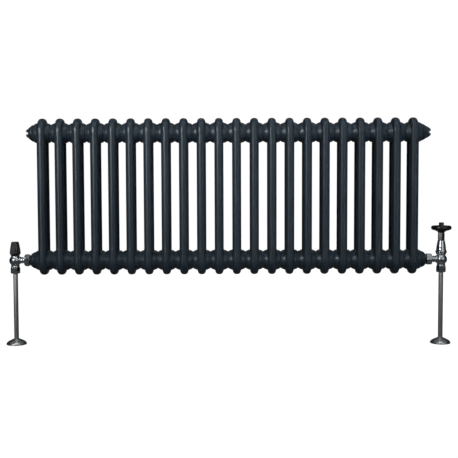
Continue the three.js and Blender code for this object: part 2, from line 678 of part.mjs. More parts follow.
/** The pieces that the two valves have in common, and the pipe below them. */
function placeShared(group, valve, hand, unionTurn) {
  place(group, `${valve}_body`, valveBody(), chrome);
  place(group, `${valve}_compression_nut`, compressionNut(), chrome).rotation.z = NEXT_FLAT;
  place(group, `${valve}_olive`, olive(), brass);
  place(group, `${valve}_tail`, tail(), chrome);
  place(group, `${valve}_union_nut`, unionNut(), chrome).rotation.x = unionTurn;
  place(group, `${valve}_disc`, disc(), rubber);
  place(group, `${hand}_pipe`, pipe(), copper);
  place(group, `${hand}_pipe_sleeve`, sleeve(), chrome);
  place(group, `${hand}_floor_plate`, floorPlate(), chrome);
}

const lockshield = valveAt(-1);
placeShared(lockshield, 'lockshield', 'left', NEXT_FLAT);
place(lockshield, 'lockshield_headwork', lockHeadwork(), brass);
place(lockshield, 'lockshield_gland_nut', lockGlandNut(), brass);
place(lockshield, 'lockshield_spindle', lockSpindle(), brass);
place(lockshield, 'lockshield_cap', lockCap(), blackPlastic);

const wheelValve = valveAt(1);
placeShared(wheelValve, 'wheel_valve', 'right', 0);
place(wheelValve, 'wheel_valve_headwork', wheelHeadwork(), chrome);
place(wheelValve, 'wheel_valve_packing', packing(), rubber);
place(wheelValve, 'wheel_valve_shroud', shroud(), chrome);
place(wheelValve, 'wheel_valve_gland_nut', glandNut(), darkChrome);
place(wheelValve, 'wheel_valve_spindle', wheelSpindle(), brass);
place(wheelValve, 'wheel_valve_wheel', wheel(), blackPlastic);
place(wheelValve, 'wheel_valve_finial_nut', finialNut(), darkChrome).rotation.z = NEXT_FLAT;

export default radiator;
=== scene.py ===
"""A two-column steel radiator with a lockshield valve and a wheelhead valve, drawn around its frame."""

import math

import bmesh
import bpy
import numpy as np
from mathutils import Matrix, Vector


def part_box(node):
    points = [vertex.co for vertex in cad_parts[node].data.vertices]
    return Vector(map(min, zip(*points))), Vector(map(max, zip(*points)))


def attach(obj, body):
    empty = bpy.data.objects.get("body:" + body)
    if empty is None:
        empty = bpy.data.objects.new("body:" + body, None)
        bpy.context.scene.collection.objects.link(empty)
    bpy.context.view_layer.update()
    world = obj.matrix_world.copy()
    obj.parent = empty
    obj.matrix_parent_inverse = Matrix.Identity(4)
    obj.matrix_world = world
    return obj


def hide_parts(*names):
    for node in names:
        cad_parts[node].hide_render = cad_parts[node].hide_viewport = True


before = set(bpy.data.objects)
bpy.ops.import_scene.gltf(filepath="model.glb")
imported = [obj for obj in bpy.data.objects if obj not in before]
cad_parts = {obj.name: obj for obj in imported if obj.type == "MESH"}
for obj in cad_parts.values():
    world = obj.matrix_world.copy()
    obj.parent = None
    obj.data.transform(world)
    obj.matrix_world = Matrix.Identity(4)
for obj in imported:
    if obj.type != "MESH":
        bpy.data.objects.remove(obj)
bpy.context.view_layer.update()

MM = 0.001
SAME_POINT = 0.001  # points closer than this, in millimetres, are one
RADIATOR, WHEEL, CAP = "radiator", "wheel", "cap"  # the moving bodies most pieces ride on


# ---------- places taken from the frame ----------

def centre(node):
    """The middle of a CAD node's box, in millimetres."""
    low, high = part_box(node)
    return np.array((low + high) / 2) / MM


SECTIONS = [f"section_{index:02d}" for index in range(1, 23)]
SECTION_CENTRES = [centre(name) for name in SECTIONS]
SECTION_LOW, SECTION_HIGH = (np.array(corner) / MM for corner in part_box(SECTIONS[0]))
UPPER_HUB = centre("top_left_seal")[2]
LOWER_HUB = centre("bottom_left_seal")[2]
LEFT_VALVE = np.array([centre("left_pipe")[0], 0, LOWER_HUB])
RIGHT_VALVE = np.array([centre("right_pipe")[0], 0, LOWER_HUB])
BLOCK_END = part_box(SECTIONS[-1])[1].x / MM

# ---------- the sections' sizes, millimetres ----------

HALF_WIDTH = (SECTION_HIGH[0] - SECTION_LOW[0]) / 2
HEAD_RISE = SECTION_HIGH[2] - UPPER_HUB
TUBE_RADIUS = 11.4
COLUMN_OFFSET = (SECTION_HIGH[1] - SECTION_LOW[1]) / 2 - TUBE_RADIUS
ARCH_RISE = HEAD_RISE - TUBE_RADIUS
SEAM_RADIUS = 21.3
COLLAR_STEP = 1.9  # how far a hub rises just beside its seam
COLLAR_RUN = 1.5  # over about what distance it does
BEAD = 0.6  # how high a soft bead stands round each half of a hub
BEAD_PLACE = 16.8  # from the section's middle
BEAD_WIDTH = 2.3  # where the bead has dropped to a third of its height
HUB_SWELL = 2.6  # how much wider again a hub is where it meets its tubes
HUB_RUN = 9.5  # from the seam to where the hub stops swelling
ARCH_FULLNESS = 2.3  # 2 makes the arch an ellipse, more makes its shoulders fuller
DOME_SQUASH = 1.08  # how much narrower a dome is than its tubes
DOME_SQUARENESS = 2.45  # 2 is a round dome, more is squarer
BORE_RADIUS = 18
BLEND = 3.0  # the soft fillet between hub and hoop
HUB_SLOPE = 0.85  # brings the hub's distance into step with the hoop's
SHOULDER = 15  # how far above and below the hub's centre the tube turns into the dome
JOINT_DROP = 31  # from the hub's centre to where the head meets its tubes
WELD_DROP = JOINT_DROP + 4  # from the hub's centre to the weld round each tube
WELD_GROOVE = 0.35

BLANK_PLUG_LENGTH = 16.6
VENT_PLUG_LENGTH = 20.3
VENT_BORE = 3.2  # radius of the vent plug's hole
SEAL_THICKNESS = 2
FLANGE_THICKNESS = 2
SLOT_WIDTH = 6
SLOT_DEPTH = 6

CAP_RIDGES = 16
CAP_GROOVE = 0.95  # how deep the grooves between its ridges are
SPINDLE_RADIUS = 3


# ---------- meshes from arrays ----------

def grid_faces(rows, columns, wrap_rows=False, wrap_columns=False):
    """The quads of a grid of points, row by row, closed on itself where it wraps."""
    row = np.arange(rows if wrap_rows else rows - 1)
    column = np.arange(columns if wrap_columns else columns - 1)
    r, c = np.meshgrid(row, column, indexing="ij")
    up, along = (r + 1) % rows, (c + 1) % columns
    low, high = r * columns, up * columns
    quads = np.stack([low + c, low + along, high + along, high + c], -1)
    return quads.reshape(-1, 4)


def join(*shells):
    """Several (points, faces) shells as one, each keeping its own points."""
    points, faces, start = [], [], 0
    for shell_points, shell_faces in shells:
        points.append(shell_points)
        faces += [np.asarray(face) + start for face in shell_faces]
        start += len(shell_points)
    return np.concatenate(points), faces


def placed(shell, turn=None, offset=(0, 0, 0)):
    """A shell turned by a matrix and then moved."""
    points, faces = shell
    if turn is not None:
        points = points @ np.array(turn.to_3x3()).T
    return points + np.asarray(offset, float), faces


def piece(name, shell, material, body=RADIATOR, node=None, sharp=35):
    """Makes a piece from a shell in millimetres, closes its seams, gives it its body and material, and
    hides its node.
    """
    points, faces = shell
    work = bmesh.new()
    mesh = bpy.data.meshes.new(name)
    mesh.from_pydata((points * MM).tolist(), [], np.asarray(faces).tolist())
    work.from_mesh(mesh)
    bmesh.ops.remove_doubles(work, verts=work.verts, dist=SAME_POINT * MM)
    bmesh.ops.dissolve_degenerate(work, edges=work.edges, dist=1e-8)
    bmesh.ops.recalc_face_normals(work, faces=work.faces)
    work.to_mesh(mesh)
    work.free()
    mesh.shade_smooth()
    mesh.set_sharp_from_angle(angle=math.radians(sharp))
    mesh.materials.append(material)
    made = bpy.data.objects.new(name, mesh)
    bpy.context.scene.collection.objects.link(made)
    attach(made, body)
    if node:
        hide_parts(node)


def filleted(points, radius, steps=5):
    """An outline with each inner corner rounded by the arc that touches both sides, as wide as the
    radius given or as the sides allow. The radius is one number or a list with one for each point."""
    points = [np.array(point, float) for point in points]
    radii = [radius] * len(points) if np.isscalar(radius) else radius
    out = [points[0]]
    for before, corner, after, size in zip(points, points[1:], points[2:], radii[1:]):
        back, ahead = before - corner, after - corner
        back_length, ahead_length = np.linalg.norm(back), np.linalg.norm(ahead)
        back, ahead = back / back_length, ahead / ahead_length
        half = math.acos(np.clip(back @ ahead, -1, 1)) / 2
        if size <= 0 or half > math.pi / 2 - 0.02:
            out.append(corner)
            continue
        cut = min(size / math.tan(half), back_length * 0.49, ahead_length * 0.49)
        middle = corner + (back + ahead) / np.linalg.norm(back + ahead) * cut / math.cos(half)
        reach = cut * math.tan(half)
        start = corner + back * cut - middle
        finish = corner + ahead * cut - middle
        for share in np.linspace(0, 1, steps + 1):
            arm = start * (1 - share) + finish * share
            out.append(middle + arm / np.linalg.norm(arm) * reach)
    return np.array(out + [points[-1]])


def turned(profile, sides=64, closed=False):
    """A profile of (radius, height) points carried round Z; a closed profile makes a ring."""
    profile = np.asarray(profile, float)
    angle = np.linspace(0, 2 * math.pi, sides, endpoint=False)
    radius, height = profile[:, :1], profile[:, 1:]
    points = np.stack([radius * np.cos(angle), radius * np.sin(angle), height + 0 * angle], -1)
    return points.reshape(-1, 3), grid_faces(len(profile), sides, closed, True)


def ring(points, radius, sides=64, steps=4):
    """A closed profile with every corner rounded, turned about Z."""
    points = [np.array(point, float) for point in points]
    start = (points[-1] + points[0]) / 2
    outline = filleted([start, *points, start], radius, steps)[:-1]
    return turned(outline, sides, closed=True)


def nut(flats, bottom, top, bore, chamfer, count=6, sides=120, face=0.97, turn=0):
    """A nut with flats. At each height its radius is the smaller of the polygon's,
    flats / 2 / cos(turn from the nearest flat), and a turned outline that rounds the corners off at
    both ends, down to a face that is the given share of the flats' circle."""
    corner = flats / 2 / math.cos(math.pi / count)
    angle = np.arange(sides) * 2 * math.pi / sides
    from_flat = (angle - turn + math.pi / count) % (2 * math.pi / count) - math.pi / count
    hexagon = flats / 2 / np.cos(from_flat)
    share = np.linspace(0, 1, 9)
    rise = chamfer * (1 - np.cos(share * math.pi / 2))
    inset = (corner - flats / 2 * face) * (1 - np.sin(share * math.pi / 2))
    outline = np.concatenate([
        np.stack([corner - inset, bottom + rise], 1),
        np.stack([corner - inset, top - rise], 1)[::-1],
    ])
    radius = np.minimum(hexagon[None, :], outline[:, :1])
    height = outline[:, 1:] + 0 * angle
    skin = np.stack([radius * np.cos(angle), radius * np.sin(angle), height], -1)
    lips = [(bore, top), (bore, bottom)] if bore else []
    hole = [np.stack([r * np.cos(angle), r * np.sin(angle), z + 0 * angle], -1) for r, z in lips]
    if not bore:
        hole = [np.stack([0 * angle, 0 * angle, z + 0 * angle], -1) for z in (top, bottom)]
    rows = np.concatenate([skin, np.array(hole)])
    return rows.reshape(-1, 3), grid_faces(len(rows), sides, bool(bore), True)


def rod(top):
    """A spindle's round shank, from just above its disc to the given height."""
    outline = [(0, -0.4), (SPINDLE_RADIUS, -0.4), (SPINDLE_RADIUS, top), (0, top)]
    return turned(filleted(outline, 0.3), 40)


TO_X = Matrix.Rotation(math.pi / 2, 3, "Y")
TO_MINUS_X = Matrix.Rotation(-math.pi / 2, 3, "Y")
HALF_TURN = Matrix.Rotation(math.pi, 3, "Z")
NEXT_FLAT = math.pi / 6  # from a hexagon's flat to its next corner


# ---------- the sections ----------

def hub_radius(x):
    """The hub's radius at a distance x from its middle. From the seam inwards it steps up to a collar,
    SEAM + STEP * (1 - exp(-distance / RUN)), with a bell-shaped bead,
    BEAD * exp(-(offset / WIDTH) ** 2), and then swells with the square of the distance."""
    distance = HALF_WIDTH - np.abs(x)
    collar = COLLAR_STEP * (1 - np.exp(-np.maximum(distance, 0) / COLLAR_RUN))
    bead = BEAD * np.exp(-((np.abs(x) - BEAD_PLACE) / BEAD_WIDTH) ** 2)
    return SEAM_RADIUS + collar + bead + HUB_SWELL * np.clip(distance / HUB_RUN, 0, 1) ** 2


def hoop_distance(y, v):
    """How far a point of the side view is from the hoop's centre line: above the hub the upper half of
    |y / OFFSET| ** FULLNESS + (v / RISE) ** FULLNESS = 1, and two upright lines below it."""
    turn = np.linspace(0, math.pi, 541)
    power = 2 / ARCH_FULLNESS
    arch_y = COLUMN_OFFSET * np.sign(np.cos(turn)) * np.abs(np.cos(turn)) ** power
    arch_v = ARCH_RISE * np.abs(np.sin(turn)) ** power
    above = np.sqrt((y[..., None] - arch_y) ** 2 + (v[..., None] - arch_v) ** 2).min(-1)
    return np.where(v >= 0, above, np.abs(np.abs(y) - COLUMN_OFFSET))


def head_field(x, y, v, hoop):
    """Negative inside the head: the hoop's and the hub's distances, joined by a smooth minimum. The
    hoop's section is a circle on the tubes and turns into a narrower, squarer one over the dome, with
    the distance (|x * squash| ** power + hoop ** power) ** (1 / power)."""
    share = np.clip((v + SHOULDER) / (2 * SHOULDER), 0, 1)
    share = share * share * (3 - 2 * share)
    power = 2 + (DOME_SQUARENESS - 2) * share
    squash = 1 + (DOME_SQUASH - 1) * share
    across = np.abs(x) * squash + 1e-9
    from_hoop = (across ** power + (hoop + 1e-9) ** power) ** (1 / power) - TUBE_RADIUS
    from_hub = (np.sqrt(y ** 2 + v ** 2) - hub_radius(x)) * HUB_SLOPE
    overlap = np.maximum(BLEND - np.abs(from_hoop - from_hub), 0) / BLEND
    return np.minimum(from_hoop, from_hub) - overlap ** 2 * BLEND / 4


def halved(inside, low, high, rounds=34):
    """The distance where inside() turns false, found by halving the span between low and high."""
    for _ in range(rounds):
        middle = (low + high) / 2
        within = inside(middle)
        low, high = np.where(within, middle, low), np.where(within, high, middle)
    return (low + high) / 2


def half_thickness(y, v):
    """How far the head's skin stands from its middle plane at each point of the side view."""
    hoop = hoop_distance(y, v)
    reach = halved(lambda x: head_field(x, y, v, hoop) < 0, 0 * y, 0 * y + HALF_WIDTH)
    open_face = head_field(0 * y + HALF_WIDTH, y, v, hoop) < 0
    edge = head_field(0 * y, y, v, hoop) >= -1e-6
    return np.where(open_face, HALF_WIDTH, np.where(edge, 0, reach))


def outline_reach(turn):
    """The distance from the hub's centre to the head's outline in each direction of the side view."""
    far = np.linspace(BORE_RADIUS, 45, 700)
    y, v = np.cos(turn)[:, None] * far, np.sin(turn)[:, None] * far
    field = head_field(0 * y, y, v, hoop_distance(y, v))
    first = np.argmax(field >= 0, axis=1)
    row = np.arange(len(turn))
    before, after = field[row, first - 1], field[row, first]
    return far[first - 1] + (far[1] - far[0]) * before / (before - after)


def outline_points(turn):
    """The points of the head's outline in each direction of the side view."""
    return np.stack([np.cos(turn), np.sin(turn)], 1) * outline_reach(turn)[:, None]


def tube_skin(turn, v):
    """The distance from a tube's axis to its skin, in directions counted from the block's outside."""
    def inside(reach):
        x, y = reach * np.sin(turn), COLUMN_OFFSET + reach * np.cos(turn)
        return head_field(x, y, v, hoop_distance(y, v)) < 0
    return halved(inside, 0 * turn, 0 * turn + TUBE_RADIUS * 1.4)


def head_border(around):
    """The rim of the head's side view, from the lowest point of the web round to the highest: a curve
    under the web, the straight joint with the tube, and the outline over the arch."""
    joint = np.linspace(math.pi, 0, around)
    reach = tube_skin(joint, np.full(around, -JOINT_DROP))
    joint_y = COLUMN_OFFSET + reach * np.cos(joint)
    first = math.atan2(-JOINT_DROP, joint_y[0])
    last = math.atan2(-JOINT_DROP, joint_y[-1])
    under = np.linspace(-math.pi / 2, first, 9)[:-1]
    over = np.linspace(last, math.pi / 2, 30)[1:]
    straight = np.stack([joint_y, np.full(around, -JOINT_DROP)], 1)
    half = np.concatenate([outline_points(under), straight, outline_points(over)])
    mirrored = half[-2:0:-1] * (-1, 1)
    return np.concatenate([half, mirrored])


def head_skin(around, rings=16):
    """One side of a head: a grid from the bore out to the rim, standing off the middle plane by the
    head's thickness. The rings crowd towards the rim, where the skin turns over."""
    border = head_border(around)
    turn = np.arctan2(border[:, 1], border[:, 0])
    reach = np.hypot(border[:, 0], border[:, 1])
    share = np.sin(np.linspace(0, math.pi / 2, rings))[:, None]
    bore = np.full((1, len(turn)), BORE_RADIUS)
    rho = np.concatenate([bore, SEAM_RADIUS + (reach - SEAM_RADIUS) * share])
    y, v = rho * np.cos(turn), rho * np.sin(turn)
    return half_thickness(y, v), y, v


def section_shell(around=17):
    """The whole section about its own middle: both sides of the upper head, the tubes down to the
    middle, and the same again upside down."""
    x, y, v = head_skin(around)
    middle = (UPPER_HUB - LOWER_HUB) / 2
    rows, columns = x.shape
    shells = []
    through = np.array([HALF_WIDTH, 0, -HALF_WIDTH])[:, None]
    bore = np.stack(np.broadcast_arrays(through, y[0], v[0]), -1)
    shells.append((bore.reshape(-1, 3), grid_faces(3, columns, False, True)))
    for side in (1, -1):
        skin = np.stack([side * x, y, v], -1).reshape(-1, 3)
        shells.append((skin, grid_faces(rows, columns, False, True)))
    turn = np.linspace(math.pi, -math.pi, 2 * around - 1)[:-1]
    beside_weld = WELD_DROP + np.array([-0.6, 0, 0.6, 1.4])
    drops = np.array([JOINT_DROP, 32.5, 34, *beside_weld, 38, 42, 50, middle])
    groove = np.where(np.isclose(drops, WELD_DROP), WELD_GROOVE, 0)
    for front in (1, -1):
        levels = []
        for drop, cut in zip(drops, groove):
            depth = np.full(len(turn), -drop)
            reach = tube_skin(turn, depth) - cut
            across = COLUMN_OFFSET + reach * np.cos(turn)
            levels.append(np.stack([reach * np.sin(turn), front * across, depth], -1))
        shells.append((np.concatenate(levels), grid_faces(len(drops), len(turn), False, True)))
    points, faces = join(*shells)
    upper, lower = points + (0, 0, middle), points * (1, 1, -1) - (0, 0, middle)
    return join((upper, faces), (lower, faces))


def weld_beads():
    """The thin welds that fill the seams between sections: a small round bead carried round each hub."""
    turn = np.linspace(0, 2 * math.pi, 9)[:-1]
    bead = np.stack([SEAM_RADIUS - 0.5 + 0.8 * np.cos(turn), 0.7 * np.sin(turn)], 1)
    one = placed(turned(bead, 48, closed=True), TO_X)
    seams = [(a[0] + b[0]) / 2 for a, b in zip(SECTION_CENTRES, SECTION_CENTRES[1:])]
    return join(*[placed(one, None, (x, 0, hub)) for x in seams for hub in (UPPER_HUB, LOWER_HUB)])


# ---------- camera, light and floor ----------

ROOM_BASE = 0.006  # the level all round
ROOM_LOW = 0.02  # what the wall in front adds low down
ROOM_HIGH = 0.28  # and what it adds more, high up
ROOM_ZENITH = 0.16
ROOM_SHADE = 0.4  # the share of the wall's light that is left on its dim side
ROOM_TINT = (0.88, 0.96, 1.0)
LAMP_TINT = (0.90, 0.97, 1.0)
CAMERA_PLACE = (0.00584, -2.312, 0.4339)
CAMERA_TILT = 0.0592  # radians below level
CAMERA_PAN = 0.0014
CAMERA_ROLL = -0.0034


def camera():
    """The camera in front of the object, a little above its middle, looking very slightly down."""
    data = bpy.data.cameras.new("camera")
    data.lens, data.sensor_width = 70.87, 36
    made = bpy.data.objects.new("camera", data)
    pan = Matrix.Rotation(CAMERA_PAN, 4, "Z")
    tilt = Matrix.Rotation(math.pi / 2 - CAMERA_TILT, 4, "X")
    roll = Matrix.Rotation(CAMERA_ROLL, 4, "Z")
    made.matrix_world = Matrix.Translation(CAMERA_PLACE) @ pan @ tilt @ roll
    bpy.context.scene.collection.objects.link(made)
    bpy.context.scene.camera = made


def softbox(name, place, aim, width, height, power, spread=180, lights=True, shines=True):
    """A rectangular studio light at a place, turned to face a point, with its beam held to a spread in
    degrees. It can be kept out of the reflections, or seen only in them."""
    data = bpy.data.lights.new(name, "AREA")
    data.spread = math.radians(spread)
    data.shape, data.size, data.size_y = "RECTANGLE", width, height
    data.energy = power
    data.color = LAMP_TINT
    made = bpy.data.objects.new(name, data)
    made.visible_diffuse, made.visible_glossy = lights, shines
    towards = (Vector(aim) - Vector(place)).to_track_quat("-Z", "Y")
    made.matrix_world = Matrix.Translation(place) @ towards.to_matrix().to_4x4()
    bpy.context.scene.collection.objects.link(made)


def studio():
    """White to the eye. In the reflections it is a dark room with a soft wall of light in front,
    brighter upwards and dimmer to the left, and a soft glow overhead:
    level = base + zenith * overhead + front * (low + high * up) * (shade + (1 - shade) * side)."""
    world = bpy.data.worlds.new("studio")
    bpy.context.scene.world = world
    bpy.context.scene.view_settings.view_transform = "Standard"
    world.use_nodes = True
    tree = world.node_tree
    nodes, link = tree.nodes, tree.links.new
    nodes.clear()
    out = nodes.new("ShaderNodeOutputWorld")
    seen = nodes.new("ShaderNodeBackground")
    room = nodes.new("ShaderNodeBackground")
    seen.inputs["Color"].default_value = (1, 1, 1, 1)
    seen.inputs["Strength"].default_value = 1.02
    where = nodes.new("ShaderNodeTexCoord")
    split = nodes.new("ShaderNodeSeparateXYZ")
    link(where.outputs["Generated"], split.inputs[0])
    front = stepped(tree, maths(tree, "MULTIPLY", split.outputs["Y"], -1), -0.1, 0.9)
    up = stepped(tree, split.outputs["Z"], -0.35, 0.45)
    side = stepped(tree, split.outputs["X"], -0.9, -0.1)
    lift = maths(tree, "ADD", maths(tree, "MULTIPLY", up, ROOM_HIGH), ROOM_LOW)
    lean = maths(tree, "ADD", maths(tree, "MULTIPLY", side, 1 - ROOM_SHADE), ROOM_SHADE)
    level = maths(tree, "MULTIPLY", maths(tree, "MULTIPLY", front, lift), lean)
    zenith = maths(tree, "MULTIPLY", stepped(tree, split.outputs["Z"], 0.45, 0.95), ROOM_ZENITH)
    link(maths(tree, "ADD", maths(tree, "ADD", level, ROOM_BASE), zenith), room.inputs["Strength"])
    room.inputs["Color"].default_value = (*ROOM_TINT, 1)
    path, mix = nodes.new("ShaderNodeLightPath"), nodes.new("ShaderNodeMixShader")
    link(path.outputs["Is Camera Ray"], mix.inputs["Fac"])
    link(room.outputs[0], mix.inputs[1])
    link(seen.outputs[0], mix.inputs[2])
    link(mix.outputs[0], out.inputs["Surface"])


def floor():
    """A pale floor whose back rises into a backdrop: a line, a quarter arc, a line, carried across."""
    arc = np.linspace(0, math.pi / 2, 17)
    y = np.concatenate([[-3.0], 2.0 + np.sin(arc), [3.0]])
    z = np.concatenate([[0], 1 - np.cos(arc), [4.0]])
    x = np.array([-5.0, 5.0])
    points = np.stack(np.broadcast_arrays(x[:, None], y[None, :], z[None, :]), -1).reshape(-1, 3)
    mesh = bpy.data.meshes.new("floor")
    mesh.from_pydata(points.tolist(), [], grid_faces(2, len(y)).tolist())
    mesh.shade_smooth()
    material = bpy.data.materials.new("pale_floor")
    material.use_nodes = True
    nodes, link = material.node_tree.nodes, material.node_tree.links.new
    face = nodes["Principled BSDF"]
    face.inputs["Base Color"].default_value = (0.06, 0.06, 0.06, 1)
    face.inputs["Roughness"].default_value = 0.8
    glow, add = nodes.new("ShaderNodeEmission"), nodes.new("ShaderNodeAddShader")
    path, plain = nodes.new("ShaderNodeLightPath"), nodes.new("ShaderNodeMixShader")
    glow.inputs["Strength"].default_value = 1.0
    link(face.outputs[0], add.inputs[0])
    link(glow.outputs[0], add.inputs[1])
    link(path.outputs["Is Camera Ray"], plain.inputs["Fac"])
    link(face.outputs[0], plain.inputs[1])
    link(add.outputs[0], plain.inputs[2])
    link(plain.outputs[0], nodes["Material Output"].inputs["Surface"])
    mesh.materials.append(material)
    made = bpy.data.objects.new("floor", mesh)
    bpy.context.scene.collection.objects.link(made)


# ---------- effects that several finishes share ----------

def effect(name, inputs, output):
    """A new node group with float inputs and one output, and a maker of nodes inside it."""
    group = bpy.data.node_groups.new(name, "ShaderNodeTree")
    for label, value in inputs.items():
        socket = group.interface.new_socket(label, in_out="INPUT", socket_type="NodeSocketFloat")
        socket.default_value = value
    group.interface.new_socket(output, in_out="OUTPUT", socket_type="NodeSocketFloat")
    return group, group.nodes.new("NodeGroupInput"), group.nodes.new("NodeGroupOutput")


def maths(tree, operation, first, second=None, clamp=False):
    """A Math node: each operand is a socket to link or a plain number."""
    node = tree.nodes.new("ShaderNodeMath")
    node.operation, node.use_clamp = operation, clamp
    for index, value in enumerate((first, second)):
        if isinstance(value, bpy.types.NodeSocket):
            tree.links.new(value, node.inputs[index])
        elif value is not None:
            node.inputs[index].default_value = value
    return node.outputs[0]


def noise(tree, scale, detail=2.0, stretch=(1, 1, 1), offset=(0, 0, 0)):
    """Noise on the object's own coordinates, in features per metre, stretched by the given factors."""
    where, mapping = tree.nodes.new("ShaderNodeTexCoord"), tree.nodes.new("ShaderNodeMapping")
    mapping.inputs["Scale"].default_value = stretch
    mapping.inputs["Location"].default_value = offset
    node = tree.nodes.new("ShaderNodeTexNoise")
    if isinstance(scale, bpy.types.NodeSocket):
        tree.links.new(scale, node.inputs["Scale"])
    else:
        node.inputs["Scale"].default_value = scale
    node.inputs["Detail"].default_value = detail
    tree.links.new(where.outputs["Object"], mapping.inputs["Vector"])
    tree.links.new(mapping.outputs[0], node.inputs["Vector"])
    return node.outputs[0]


def stepped(tree, value, low, high):
    """A smooth step from 0 at low to 1 at high."""
    node = tree.nodes.new("ShaderNodeMapRange")
    node.interpolation_type = "SMOOTHSTEP"
    node.inputs["From Min"].default_value, node.inputs["From Max"].default_value = low, high
    tree.links.new(value, node.inputs["Value"])
    return node.outputs["Result"]


def make_dust_and_top_highlight():
    """A lighter colour on what faces up: a smooth step of the normal's height, broken up by fine noise.
    Laid on thinly it is dust; on the cap it is laid on heavily and is partly dust, partly a painted
    highlight on the faces that look up.
    """
    group, given, out = effect("dust_and_top_highlight", {"Amount": 0.3}, "Mask")
    normal = group.nodes.new("ShaderNodeNewGeometry")
    split = group.nodes.new("ShaderNodeSeparateXYZ")
    group.links.new(normal.outputs["Normal"], split.inputs[0])
    facing_up = stepped(group, split.outputs["Z"], 0.25, 1.0)
    patches = stepped(group, noise(group, 60, 5.0), 0.32, 0.72)
    specks = stepped(group, noise(group, 900, 2.0), 0.5, 0.75)
    cover = maths(group, "ADD", maths(group, "MULTIPLY", patches, 0.7),
                  maths(group, "MULTIPLY", specks, 0.5))
    lying = maths(group, "MULTIPLY", facing_up, cover)
    mask = maths(group, "MULTIPLY", lying, given.outputs["Amount"], clamp=True)
    group.links.new(mask, out.inputs["Mask"])
    return group


def make_smudges():
    """Handling marks: wide soft patches of noise with finer ones inside, between 0 and 1."""
    group, given, out = effect("smudges", {"Scale": 40.0}, "Mask")
    wide = noise(group, given.outputs["Scale"], 3.0)
    fine = noise(group, maths(group, "MULTIPLY", given.outputs["Scale"], 7.0), 4.0)
    both = maths(group, "ADD", maths(group, "MULTIPLY", wide, 0.65),
                 maths(group, "MULTIPLY", fine, 0.35))
    group.links.new(stepped(group, both, 0.38, 0.66), out.inputs["Mask"])
    return group


def make_grain():
    """A sprayed or moulded skin: two sizes of small round bumps added together."""
    group, given, out = effect("grain", {"Scale": 400.0, "Share of Fine": 0.4}, "Height")
    coarse = noise(group, given.outputs["Scale"], 1.0)
    fine = noise(group, maths(group, "MULTIPLY", given.outputs["Scale"], 3.1), 2.0)
    weighted = maths(group, "MULTIPLY", fine, given.outputs["Share of Fine"])
    group.links.new(maths(group, "ADD", coarse, weighted), out.inputs["Height"])
    return group


def make_scratches():
    """Hairline marks: noise drawn out along the piece, kept only where it is highest."""
    group, given, out = effect("scratches", {"Scale": 120.0}, "Height")
    along = noise(group, given.outputs["Scale"], 2.0, stretch=(1.0, 14.0, 5.0))
    across = noise(group, given.outputs["Scale"], 2.0, stretch=(9.0, 2.0, 16.0),
                   offset=(0.3, 0.1, 0.7))
    lines = maths(group, "MAXIMUM", stepped(group, along, 0.62, 0.7),
                  stepped(group, across, 0.64, 0.72))
    group.links.new(lines, out.inputs["Height"])
    return group


DUST_AND_TOP_HIGHLIGHT, SMUDGES, GRAIN, SCRATCHES = make_dust_and_top_highlight(), make_smudges(), make_grain(), make_scratches()


# ---------- finishes ----------

class Finish:
    """A Principled material with helpers that link its colour, roughness and bump."""

    def __init__(self, name, roughness, metallic=0.0, **constants):
        self.material = bpy.data.materials.new(name)
        self.material.use_nodes = True
        self.tree = self.material.node_tree
        self.face = self.tree.nodes["Principled BSDF"]
        self.face.inputs["Roughness"].default_value = roughness
        self.face.inputs["Metallic"].default_value = metallic
        for socket, value in constants.items():
            self.face.inputs[socket.replace("_", " ")].default_value = value

    def use(self, group, **values):
        """Places a shared effect and returns its output."""
        node = self.tree.nodes.new("ShaderNodeGroup")
        node.node_tree = group
        for socket, value in values.items():
            node.inputs[socket.replace("_", " ")].default_value = value
        return node.outputs[0]

    def mixed(self, mask, first, second):
        """The second colour over the first where the mask is 1. Each is a colour or a socket."""
        node = self.tree.nodes.new("ShaderNodeMix")
        node.data_type = "RGBA"
        self.tree.links.new(mask, node.inputs["Factor"])
        for socket, value in ((node.inputs[6], first), (node.inputs[7], second)):
            if isinstance(value, bpy.types.NodeSocket):
                self.tree.links.new(value, socket)
            else:
                socket.default_value = (*value, 1)
        return node.outputs[2]

    def colour(self, socket):
        """Links the base colour."""
        self.tree.links.new(socket, self.face.inputs["Base Color"])

    def roughness(self, mask, low, high):
        """Roughness that goes from low to high as the mask goes from 0 to 1."""
        node = self.tree.nodes.new("ShaderNodeMapRange")
        node.inputs["To Min"].default_value, node.inputs["To Max"].default_value = low, high
        self.tree.links.new(mask, node.inputs["Value"])
        self.tree.links.new(node.outputs["Result"], self.face.inputs["Roughness"])

    def bump(self, height, strength, depth):
        """A bump of the given depth in millimetres."""
        node = self.tree.nodes.new("ShaderNodeBump")
        node.inputs["Strength"].default_value = strength
        node.inputs["Distance"].default_value = depth * MM
        self.tree.links.new(height, node.inputs["Height"])
        self.tree.links.new(node.outputs[0], self.face.inputs["Normal"])


def anthracite_paint():
    """Baked blue-grey paint: a faint orange-peel skin, slow changes of tone, a little dust on top."""
    paint = Finish("anthracite_paint", 0.4, Specular_IOR_Level=0.45)
    tone = stepped(paint.tree, noise(paint.tree, 9, 3.0), 0.3, 0.7)
    body = paint.mixed(tone, (0.019, 0.028, 0.038), (0.025, 0.035, 0.046))
    dust_and_top_highlight = paint.use(DUST_AND_TOP_HIGHLIGHT, Amount=0.16)
    paint.colour(paint.mixed(dust_and_top_highlight, body, (0.17, 0.175, 0.18)))
    paint.roughness(paint.use(SMUDGES, Scale=30.0), 0.28, 0.37)
    paint.bump(paint.use(GRAIN, Scale=420.0, Share_of_Fine=0.35), 0.25, 0.06)
    return paint.material


